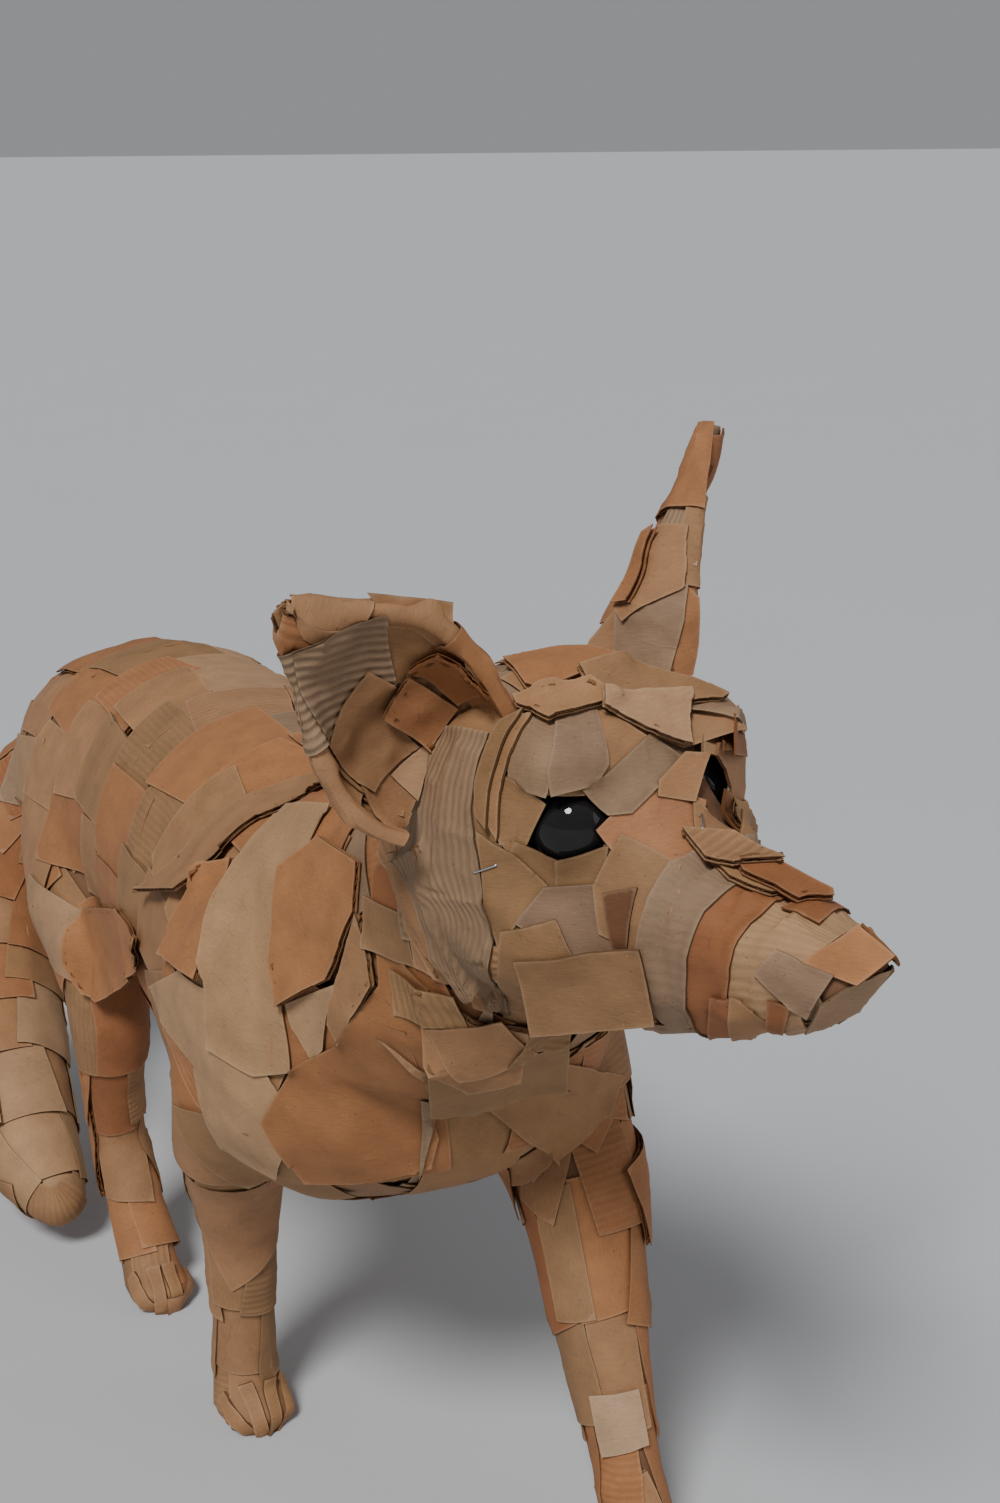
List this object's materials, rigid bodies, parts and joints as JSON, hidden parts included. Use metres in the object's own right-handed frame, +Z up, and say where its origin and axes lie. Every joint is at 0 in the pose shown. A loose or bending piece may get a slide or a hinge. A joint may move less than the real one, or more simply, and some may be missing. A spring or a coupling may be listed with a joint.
{
  "type": "cardboard fox figure",
  "caption": "Walking fox figure, near life size, built up from glued and stapled scraps of corrugated cardboard, with its head turned, tall cupped ears and black eyes.",
  "frame": {"origin": "on the floor, under the middle of the figure's bounding box", "axes": "+Z up; the fox faces -Y and its left side is +X"},
  "size_m": [0.2298, 0.7918, 0.4961],
  "materials": {
    "figure_card": "matt brown kraft",
    "ear_card": "matt brown kraft",
    "band_card": "matt light kraft",
    "head_card": "matt kraft, cut edges showing",
    "body_card": "matt reddish kraft",
    "eye_gloss": "black high gloss",
    "staple_wire": "bright wire"
  },
  "bodies": {
    "root": {"between_eyes": "head_card", "bridge_strip": "head_card", "brow_flap_left": "head_card", "brow_flap_right": "head_card", "brow_inner": "head_card", "brow_left": "head_card", "brow_right": "head_card", "brow_side_left": "head_card", "cheek_card": "head_card", "cheek_grey": "head_card", "cheek_left_lower": "head_card", "cheek_left_upper": "head_card", "cheek_tan": "head_card", "chest_card_left": "body_card", "chest_card_right": "body_card", "chest_front": "body_card", "crown_back": "head_card", "crown_card": "head_card", "crown_card_left": "head_card", "ear_left": "ear_card", "ear_right": "ear_card", "eye_left": "eye_gloss", "eye_right": "eye_gloss", "figure": "figure_card", "flank_a1": "body_card", "flank_a2": "body_card", "flank_a3": "body_card", "flank_a4": "body_card", "flank_b1": "body_card", "flank_b2": "body_card", "flank_b3": "body_card", "flank_b4": "body_card", "flank_c1": "body_card", "flank_c2": "body_card", "flank_c3": "body_card", "flank_c4": "body_card", "jaw_band_left": "head_card", "jaw_band_right": "head_card", "jaw_card": "head_card", "lower_lid": "head_card", "muzzle_band_back": "band_card", "muzzle_band_front": "band_card", "muzzle_band_middle": "band_card", "muzzle_square": "head_card", "nape_card": "head_card", "nose_bridge": "head_card", "nose_cap": "head_card", "nose_flap_high": "head_card", "nose_flap_low": "head_card", "rump_card": "body_card", "shoulder_strip_left": "body_card", "shoulder_strip_right": "body_card", "staple_bridge": "staple_wire", "staple_temple": "staple_wire", "temple_band_left": "head_card", "temple_band_right": "head_card", "temple_left": "head_card", "temple_right": "head_card", "throat_card": "body_card"}
  },
  "joints": []
}
